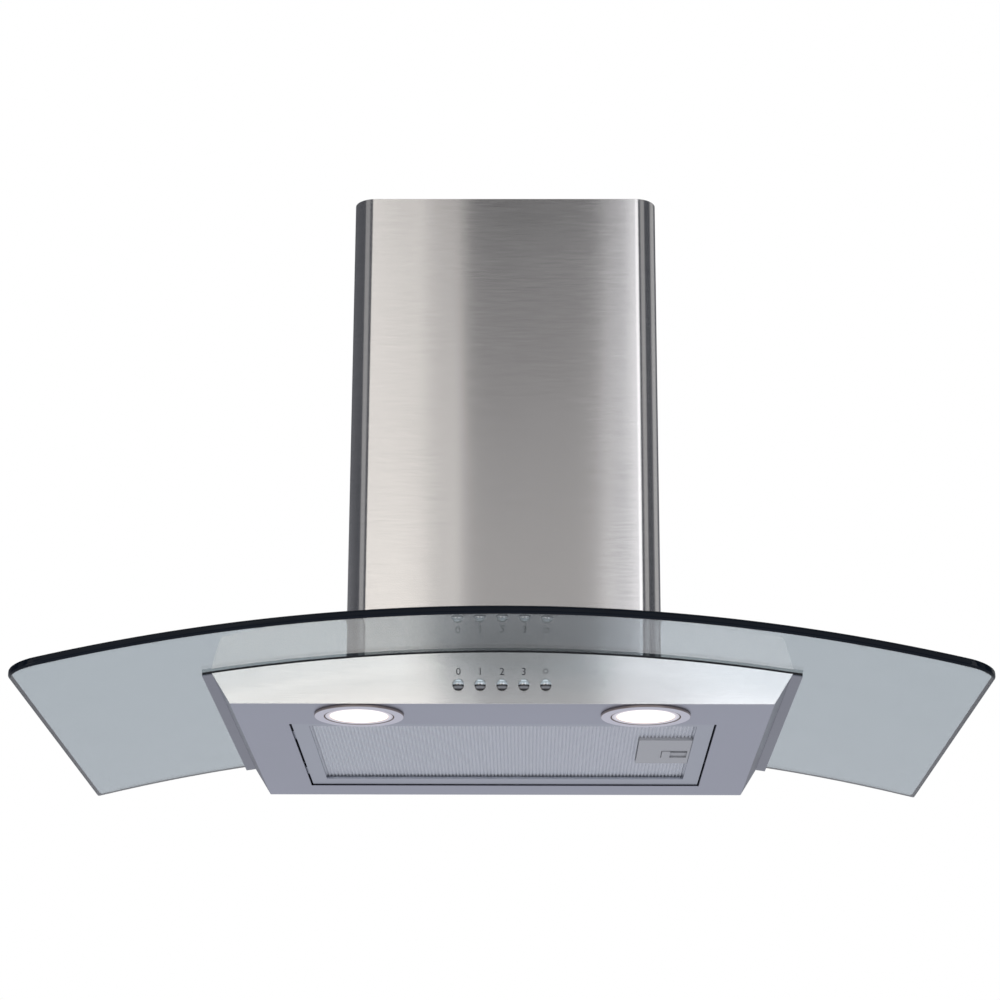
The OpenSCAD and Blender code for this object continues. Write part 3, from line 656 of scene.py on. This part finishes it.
def canopy_outline():
    """Outer edge of the glass, anticlockwise from its left rear corner."""
    left, right, r = GLASS_LOW.x, GLASS_HIGH.x, GLASS_CORNER_R
    front, back = GLASS_LOW.y, GLASS_HIGH.y
    root = math.sqrt(0.5)
    edge = [((left, back), (-2 * root, 2 * root))]
    edge += straight((left, back), (left, front + r), (-1, 0))
    edge += arc(left + r, front + r, r, 180, 270, 10)
    edge += straight((left + r, front), (right - r, front), (0, -1))
    edge += arc(right - r, front + r, r, 270, 360, 10)
    edge += straight((right, front + r), (right, back), (1, 0))
    edge += [((right, back), (2 * root, 2 * root))]
    edge += straight((right, back), (left, back), (0, 1))
    return edge


def turned_in(ring):
    """A hole's edge: clockwise, with its outward direction into the hole."""
    return [(point, (-out[0], -out[1])) for point, out in reversed(ring)]


def air_outline():
    r = AIR_CORNER_R
    ring = arc(AIR_HALF - r, AIR_BACK - r, r, 0, 90, 6)
    ring += straight((AIR_HALF - r, AIR_BACK), (-AIR_HALF + r, AIR_BACK), (0, 1))
    ring += arc(-AIR_HALF + r, AIR_BACK - r, r, 90, 180, 6)
    ring += arc(-AIR_HALF + r, AIR_FRONT + r, r, 180, 270, 6)
    ring += straight((-AIR_HALF + r, AIR_FRONT), (AIR_HALF - r, AIR_FRONT), (0, -1))
    ring += arc(AIR_HALF - r, AIR_FRONT + r, r, 270, 360, 6)
    return turned_in(ring)


def bush_outline(x, y):
    return turned_in(arc(x, y, BUSH_R, 0, 345, 23))


def inside(point, ring):
    """Whether a plan point lies inside a ring of plan points."""
    x, y = point
    crossings = 0
    for (x0, y0), (x1, y1) in zip(ring, ring[1:] + ring[:1]):
        if (y0 > y) != (y1 > y) and x < x0 + (y - y0) * (x1 - x0) / (y1 - y0):
            crossings += 1
    return crossings % 2 == 1


def glass_canopy():
    """The bent glass plate with polished round edges, its air opening and bolt holes."""
    rings = [canopy_outline(), air_outline()]
    rings += [bush_outline(x, y) for x in (-CLAMP_X, CLAMP_X) for y in CLAMP_Y]
    quarter = [math.radians(90 * i / POLISH_STEPS) for i in range(POLISH_STEPS + 1)]
    low_arc = [(POLISH_R * (1 - math.sin(a)), POLISH_R * (1 - math.cos(a))) for a in quarter]
    section = low_arc + [(inset, GLASS_T - rise) for inset, rise in reversed(low_arc)]
    form = bmesh.new()
    faces_of = []
    for ring in rings:
        loops = []
        for inset, rise in section:
            points = [(p[0] - o[0] * inset, p[1] - o[1] * inset) for p, o in ring]
            loops.append([form.verts.new(bend_point(x, y, rise)) for x, y in points])
        for low, high in zip(loops, loops[1:]):
            for i in range(len(ring)):
                j = (i + 1) % len(ring)
                face = form.faces.new((low[i], low[j], high[j], high[i]))
                face.material_index = 1
        faces_of.append((loops[0], loops[-1]))
    across, along = GLASS_SPACING, 3 * GLASS_SPACING
    columns = int((GLASS_HIGH.x - GLASS_LOW.x) / across)
    rows = int((GLASS_HIGH.y - GLASS_LOW.y) / along)
    grid = [
        (GLASS_LOW.x + across * (i + 0.5), GLASS_LOW.y + along * (j + 0.5))
        for i in range(columns)
        for j in range(rows)
    ]
    for side, rise in ((0, 0.0), (1, GLASS_T)):
        borders = [loops[side] for loops in faces_of]
        plans = [[(v.co.x, v.co.y) for v in border] for border in borders]
        keep = [
            p
            for p in grid
            if inside(p, plans[0])
            and not any(inside(p, plan) for plan in plans[1:])
            and all(math.dist(p, q) > across / 3 for plan in plans for q in plan)
        ]
        verts = [v for border in borders for v in border]
        verts += [form.verts.new(bend_point(x, y, rise)) for x, y in keep]
        edges, first = [], 0
        for border in borders:
            count = len(border)
            edges += [(first + i, first + (i + 1) % count) for i in range(count)]
            first += count
        flat = [Vector((v.co.x, v.co.y)) for v in verts]
        out = delaunay_2d_cdt(flat, edges, [], 0, 1e-7, True)
        source = {i: origins[0] for i, origins in enumerate(out[3]) if origins}
        for triangle in out[2]:
            corners = [out[0][i] for i in triangle]
            middle = sum(corners, Vector((0, 0))) / 3
            if not inside(middle, plans[0]) or any(inside(middle, p) for p in plans[1:]):
                continue
            picked = [verts[source[i]] for i in triangle]
            if side == 0:
                picked.reverse()
            form.faces.new(picked)
    closed(form)
    mesh = bpy.data.meshes.new("glass_canopy_polished")
    form.to_mesh(mesh)
    form.free()
    mesh.materials.append(FINISHES["canopy_glass"])
    mesh.materials.append(EDGE_FINISH)
    name = "glass_canopy_polished"
    shade_evenly(add_piece(name, mesh, "hood", "canopy_glass", None, ["glass_canopy"]))


def fillet(points, radius, steps=4):
    """Rounds the corners of a closed outline of (across, along) points."""
    outline = []
    count = len(points)
    for i, point in enumerate(points):
        here = Vector(point)
        before, after = Vector(points[i - 1]), Vector(points[(i + 1) % count])
        to_before, to_after = (before - here).normalized(), (after - here).normalized()
        half = to_before.angle(to_after) / 2
        shorter = min((before - here).length, (after - here).length)
        reach = min(radius / math.tan(half), shorter / 2.1)
        start, end = here + to_before * reach, here + to_after * reach
        for k in range(steps + 1):
            t = k / steps
            outline.append(tuple(start * (1 - t) ** 2 + here * 2 * t * (1 - t) + end * t * t))
    return outline


def lathe(outline, centre, axis="Z", segments=96):
    """A closed outline of (radius, height) points turned about an axis through centre."""
    form = bmesh.new()
    rings = []
    for radius, height in outline:
        if radius < 1e-6:
            rings.append([form.verts.new((0, 0, height))] * segments)
        else:
            turn = [2 * math.pi * i / segments for i in range(segments)]
            rings.append(
                [form.verts.new((radius * math.cos(a), radius * math.sin(a), height)) for a in turn]
            )
    for low, high in zip(rings, rings[1:] + rings[:1]):
        for i in range(segments):
            j = (i + 1) % segments
            corners = []
            for vert in (low[i], low[j], high[j], high[i]):
                if vert not in corners:
                    corners.append(vert)
            if len(corners) > 2:
                form.faces.new(corners)
    closed(form)
    turn = {"Z": Matrix.Identity(4), "-Y": Matrix.Rotation(math.pi / 2, 4, "X")}[axis]
    bmesh.ops.transform(form, matrix=Matrix.Translation(centre) @ turn, verts=form.verts)
    return form


def push_button(name):
    """A chrome dome on a short rim; the pressed part slides in the fascia."""
    low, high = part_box("button_" + name)
    centre = Vector(((low.x + high.x) / 2, FASCIA_Y, (low.z + high.z) / 2))
    flange = (high.x - low.x) / 2
    radius = flange - FLANGE_RIM
    front = FASCIA_Y - low.y
    back = FASCIA_Y - high.y
    seat = -1.4 * MM
    rim = 0.9 * MM
    dome_r = radius * 1.12
    crown = [(0.0, front)]
    steps = 8
    for i in range(1, steps + 1):
        a = math.asin(radius / dome_r) * i / steps
        crown.append((dome_r * math.sin(a), front - dome_r * (1 - math.cos(a))))
    outline = crown + [(radius, rim), (radius, seat), (flange, seat)]
    under = seat - FLANGE_T
    outline += [(flange, under), (STEM_R, under), (STEM_R, back), (0.0, back)]
    form = lathe(outline, centre, "-Y", 64)
    node = "button_" + name
    part = add_piece("button_dome_" + name, form, node, "button_chrome", None, [node])
    part.data.set_sharp_from_angle(angle=TURNED_SHARP)


def return_spring(name):
    """A coiled wire spring at its rest length, riding on the hood; it keeps that length when its
    button is pressed.
    """
    low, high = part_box("spring_" + name)
    centre = (low + high) / 2
    wire = SPRING_WIRE_R
    coil_r = (high.x - low.x) / 2 - wire
    turns, per_turn, sides = 5, 24, 8
    length = high.y - low.y - 2 * wire
    form = bmesh.new()
    rings = []
    for i in range(turns * per_turn + 1):
        a = 2 * math.pi * i / per_turn
        y = low.y + wire + length * i / (turns * per_turn)
        middle = Vector((centre.x + coil_r * math.cos(a), y, centre.z + coil_r * math.sin(a)))
        out = Vector((math.cos(a), 0, math.sin(a)))
        ring = []
        for k in range(sides):
            b = 2 * math.pi * k / sides
            aside = out * math.cos(b) + Vector((0, math.sin(b), 0))
            ring.append(form.verts.new(middle + wire * aside))
        rings.append(ring)
    for a_ring, b_ring in zip(rings, rings[1:]):
        for k in range(sides):
            m = (k + 1) % sides
            form.faces.new((a_ring[k], a_ring[m], b_ring[m], b_ring[k]))
    form.faces.new(rings[0])
    form.faces.new(list(reversed(rings[-1])))
    closed(form)
    node = "spring_" + name
    part = add_piece("coil_spring_" + name, form, "hood", "spring_steel", None, [node])
    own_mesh(part)


def flat_mark(name, rings, place):
    """A thin printed mark on the fascia, from closed (across, up) outlines."""
    form = bmesh.new()
    for ring in rings:
        face = form.faces.new(
            [form.verts.new((place.x + u, place.y, place.z + v)) for u, v in ring]
        )
        made = bmesh.ops.extrude_face_region(form, geom=[face])
        verts = [g for g in made["geom"] if isinstance(g, bmesh.types.BMVert)]
        bmesh.ops.translate(form, verts=verts, vec=(0, -MARK_T, 0))
    bmesh.ops.recalc_face_normals(form, faces=form.faces)
    add_piece(name, form, "hood", "body_steel", INK_FINISH)


def digit_mark(name, digit, place):
    """A dial number, flat on the fascia."""
    curve = bpy.data.curves.new(name, "FONT")
    curve.body = digit
    curve.align_x = "CENTER"
    curve.size = MARK_HEIGHT * FONT_HEIGHT
    curve.extrude = MARK_T / 2
    curve.resolution_u = 6
    holder = put(name, curve)
    mesh = bpy.data.meshes.new_from_object(holder)
    bpy.data.objects.remove(holder)
    base = Vector((place.x, place.y - MARK_T / 2, place.z))
    mesh.transform(Matrix.Translation(base) @ Matrix.Rotation(math.pi / 2, 4, "X"))
    mesh.materials.clear()
    add_piece(name, mesh, "hood", "body_steel", INK_FINISH)


def lamp_mark(place):
    """A small sun: a ring with rays."""
    ring_r, stroke = MARK_HEIGHT * 0.22, MARK_HEIGHT * 0.06
    middle = MARK_HEIGHT / 2
    rings = []
    parts, rays = 24, 8
    for i in range(parts):
        a, b = 2 * math.pi * i / parts, 2 * math.pi * (i + 1) / parts
        corners = [(ring_r, a), (ring_r + stroke, a), (ring_r + stroke, b), (ring_r, b)]
        rings.append([(r * math.cos(t), middle + r * math.sin(t)) for r, t in corners])
    for i in range(rays):
        a = 2 * math.pi * i / rays
        along = Vector((math.cos(a), math.sin(a)))
        across = Vector((-math.sin(a), math.cos(a)))
        near, far = ring_r + 2.2 * stroke, ring_r + 4.2 * stroke
        corners = [
            along * near - across * stroke / 2,
            along * far - across * stroke / 2,
            along * far + across * stroke / 2,
            along * near + across * stroke / 2,
        ]
        rings.append([(c.x, c.y + middle) for c in corners])
    flat_mark("mark_light", rings, place)


def button_marks():
    for name, digit in zip(BUTTON_NAMES, ["0", "1", "2", "3", None]):
        low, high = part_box("button_" + name)
        base = (low.z + high.z) / 2 + MARK_LIFT - MARK_HEIGHT / 2
        place = Vector(((low.x + high.x) / 2, FASCIA_Y, base))
        if digit:
            digit_mark("mark_" + name, digit, place)
        else:
            lamp_mark(place)


def lamp(side):
    """Bezel and trim ring of one lamp, turned with soft edges."""
    bezel_low, bezel_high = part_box("lamp_bezel_" + side)
    x = (bezel_low.x + bezel_high.x) / 2
    y = (bezel_low.y + bezel_high.y) / 2
    centre = Vector((x, y, UNDER_Z))
    r = (bezel_high.x - bezel_low.x) / 2
    drop = UNDER_Z - bezel_low.z
    tube = r - BEZEL_WIDTH
    bore = tube - BEZEL_WALL
    top = bezel_high.z - UNDER_Z
    seat = -0.05 * MM
    bezel = [(bore, -drop), (r, -drop), (r, seat), (tube, seat), (tube, top), (bore, top)]
    form = lathe(fillet(bezel, 0.7 * MM), centre)
    node = "lamp_bezel_" + side
    add_piece("lamp_bezel_turned_" + side, form, "hood", "bezel_steel", None, [node])
    low = 0.4 * MM - drop
    trim, glass = bore - 0.8 * MM, bore - 5 * MM
    ring = [
        (glass + 0.2 * MM, low),
        (trim, low),
        (trim, low + 2.4 * MM),
        (glass + 1.4 * MM, low + 2.4 * MM),
        (glass + 1.4 * MM, 4 * MM),
        (bore - 0.1 * MM, 4 * MM),
        (bore - 0.1 * MM, 5 * MM),
        (glass + 0.2 * MM, 5 * MM),
    ]
    form = lathe(fillet(ring, 0.4 * MM), centre)
    node = "lamp_trim_" + side
    add_piece("lamp_trim_turned_" + side, form, "hood", "bezel_steel", None, [node])


def screw_heads(name, places, radius):
    """Upright pan heads with a cross recess; each place is the middle of a head's seat."""
    form = bmesh.new()
    height, arm, reach = radius * 0.6, radius * 0.16, radius * 0.62
    shares = (0.0, 0.12, 0.24, 0.36, 0.5, 0.64, 0.8, 0.93, 1.0)
    for place in places:
        crown = [(radius * q, height * (1 - 0.45 * q * q)) for q in shares]
        head = lathe(crown + [(radius, 0.0), (0.0, 0.0)], Vector(), segments=40)
        for vert in head.verts:
            x, y, z = vert.co
            in_cross = min(abs(x), abs(y)) < arm and max(abs(x), abs(y)) < reach
            if z > height / 2 and in_cross:
                vert.co.z = height * 0.35
        bmesh.ops.translate(head, verts=head.verts, vec=place)
        mesh = bpy.data.meshes.new(name)
        head.to_mesh(mesh)
        head.free()
        form.from_mesh(mesh)
        bpy.data.meshes.remove(mesh)
    part = add_piece(name, form, "hood", "fastener_steel")
    part.data.set_sharp_from_angle(angle=TURNED_SHARP)


def cover_screws():
    """Screws that hold the outlet collar and the terminal cover down."""
    low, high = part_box("outlet_collar")
    seat = low.z + COLLAR_BASE_T
    corners = [
        Vector((x, y, seat))
        for x in (low.x + SCREW_INSET, high.x - SCREW_INSET)
        for y in (low.y + SCREW_INSET, high.y - SCREW_INSET)
    ]
    screw_heads("collar_screws", corners, COLLAR_SCREW_R)
    low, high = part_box("terminal_cover")
    middle = (low.x + high.x) / 2
    ends = [Vector((middle, y, high.z)) for y in (low.y + SCREW_INSET, high.y - SCREW_INSET)]
    screw_heads("terminal_screws", ends, COVER_SCREW_R)


# How wide the rounded edges of each visible node are, in millimetres
SOFT_NODES = {
    "body_shell": 0.35,
    "front_fascia": 0.35,
    "top_deck": 0.25,
    "chimney_lower": 0.25,
    "chimney_upper": 0.25,
    "filter_frame": 0.6,
    "latch_housing": 0.6,
    "latch_slider": 0.35,
    "filter_tongues": 0.3,
    "motor_box": 0.3,
    "blower_scroll": 0.5,
    "scroll_cover": 0.5,
    "motor_housing": 1.2,
    "motor_bracket": 0.6,
    "outlet_collar": 0.5,
    "switch_bank": 0.6,
    "terminal_box": 0.6,
    "terminal_cover": 0.5,
    "cable_gland": 0.6,
    "run_capacitor": 1.0,
    "lamp_transformer": 0.6,
    "ceiling_bracket": 0.5,
    "clamp_bolts": 0.4,
    "clamp_nuts": 0.3,
}
for soft_node, soft_width in SOFT_NODES.items():
    softened(soft_node, soft_width * MM)
glass_canopy()
for button in BUTTON_NAMES:
    push_button(button)
    return_spring(button)
button_marks()
cover_screws()
for lamp_side in ("left", "right"):
    lamp(lamp_side)


# ------------------------------------------------- floor, light and camera


def studio_floor():
    mesh = bpy.data.meshes.new("studio_floor")
    signs = ((-1, -1), (1, -1), (1, 1), (-1, 1))
    corners = [(x * FLOOR_HALF, y * FLOOR_HALF, FLOOR_LEVEL) for x, y in signs]
    mesh.from_pydata(corners, [], [(0, 1, 2, 3)])
    floor = put("studio_floor", mesh)
    paint = Finish("studio_floor_paint", Roughness=0.8, Emission_Strength=0.65)
    cloud = paint.noise((1.5, 1.5, 1.5))
    pale = paint.blend(cloud, (0.78, 0.79, 0.84), (0.82, 0.83, 0.88))
    paint.set(Base_Color=pale, Emission_Color=pale)
    mesh.materials.append(paint.material)


def softbox(name, place, size, glow, colour=(1, 1, 1)):
    """A rectangular light that the camera doesn't see; glow is its brightness."""
    light = bpy.data.lights.new(name, "AREA")
    light.shape = "RECTANGLE"
    light.size, light.size_y = size
    light.energy = glow * math.pi * size[0] * size[1]
    light.color = colour
    box = put(name, light)
    box.location = place
    box.rotation_euler = (Vector(AIM) - Vector(place)).to_track_quat("-Z", "Y").to_euler()
    box.visible_camera = False


def studio_world():
    """White where the camera sees it, and a dim grey room for light and reflections."""
    world = bpy.data.worlds.new("studio_world")
    bpy.context.scene.world = world
    world.use_nodes = True
    room = Nodes(world.node_tree, "Background")
    seen = room.add("ShaderNodeLightPath", output="Is Camera Ray")
    through = room.add("ShaderNodeLightPath", output="Is Transmission Ray")
    direction = room.add("ShaderNodeTexCoord", output="Generated")
    behind = room.add("ShaderNodeSeparateXYZ", None, {0: direction}, "Y").clamped()
    above = room.add("ShaderNodeSeparateXYZ", None, {0: direction}, "Z").clamped()
    low_behind = behind * (1 - above * 3).clamped()
    dim = room.blend(low_behind, (0.09, 0.095, 0.11), (0.5, 0.51, 0.55))
    room.set(Color=room.blend((seen + through).clamped(), dim, (1, 1, 1)), Strength=1.0)


def studio_light():
    studio_world()
    warm, ivory, cool = (1, 0.975, 0.95), (1, 0.96, 0.89), (0.95, 0.96, 1)
    softbox("left_softbox", (-1.71, -3.6, 1.45), (1.38, 2.1), 0.98, warm)
    softbox("left_low", (-1.65, -3.6, -0.35), (1.6, 1.1), 2.3, ivory)
    softbox("left_fade", (-0.77, -3.6, 1.2), (0.5, 2.6), 0.72, warm)
    softbox("left_wing", (-3.7, -2.2, 1.0), (1.6, 2.8), 0.35)
    softbox("centre_fill", (0.25, -3.6, 0.75), (1.7, 1.1), 0.62, warm)
    softbox("right_fill", (1.2, -3.6, 1.1), (0.3, 2.6), 0.42, cool)
    softbox("right_softbox", (2.02, -3.6, 1.3), (1.2, 2.4), 1.6, cool)
    softbox("right_low", (1.8, -3.6, -0.4), (1.6, 1.0), 2.3, cool)
    softbox("right_wing", (3.7, -2.2, 1.0), (1.6, 2.8), 0.4)
    softbox("right_rear", (4.0, 2.5, 1.6), (2.5, 2.5), 0.4)
    softbox("top_softbox", (0, -0.8, 2.6), (3.0, 2.0), 0.8)


def photographer():
    """The camera, low in front of the hood and looking up at it."""
    level = Vector((math.sin(YAW), math.cos(YAW), 0)) * math.cos(PITCH)
    ahead = level + Vector((0, 0, math.sin(PITCH)))
    right = Vector((math.cos(YAW), -math.sin(YAW), 0))
    up = right.cross(ahead)
    tilted_right = right * math.cos(ROLL) + up * math.sin(ROLL)
    tilted_up = up * math.cos(ROLL) - right * math.sin(ROLL)
    data = bpy.data.cameras.new("camera")
    data.lens = LENS
    data.clip_end = 100
    camera = put("camera", data)
    turn = Matrix((tilted_right, tilted_up, -ahead)).transposed().to_4x4()
    camera.matrix_world = Matrix.Translation(CAMERA_PLACE) @ turn
    bpy.context.scene.camera = camera


studio_floor()
studio_light()
photographer()
bpy.context.scene.view_settings.view_transform = "Standard"
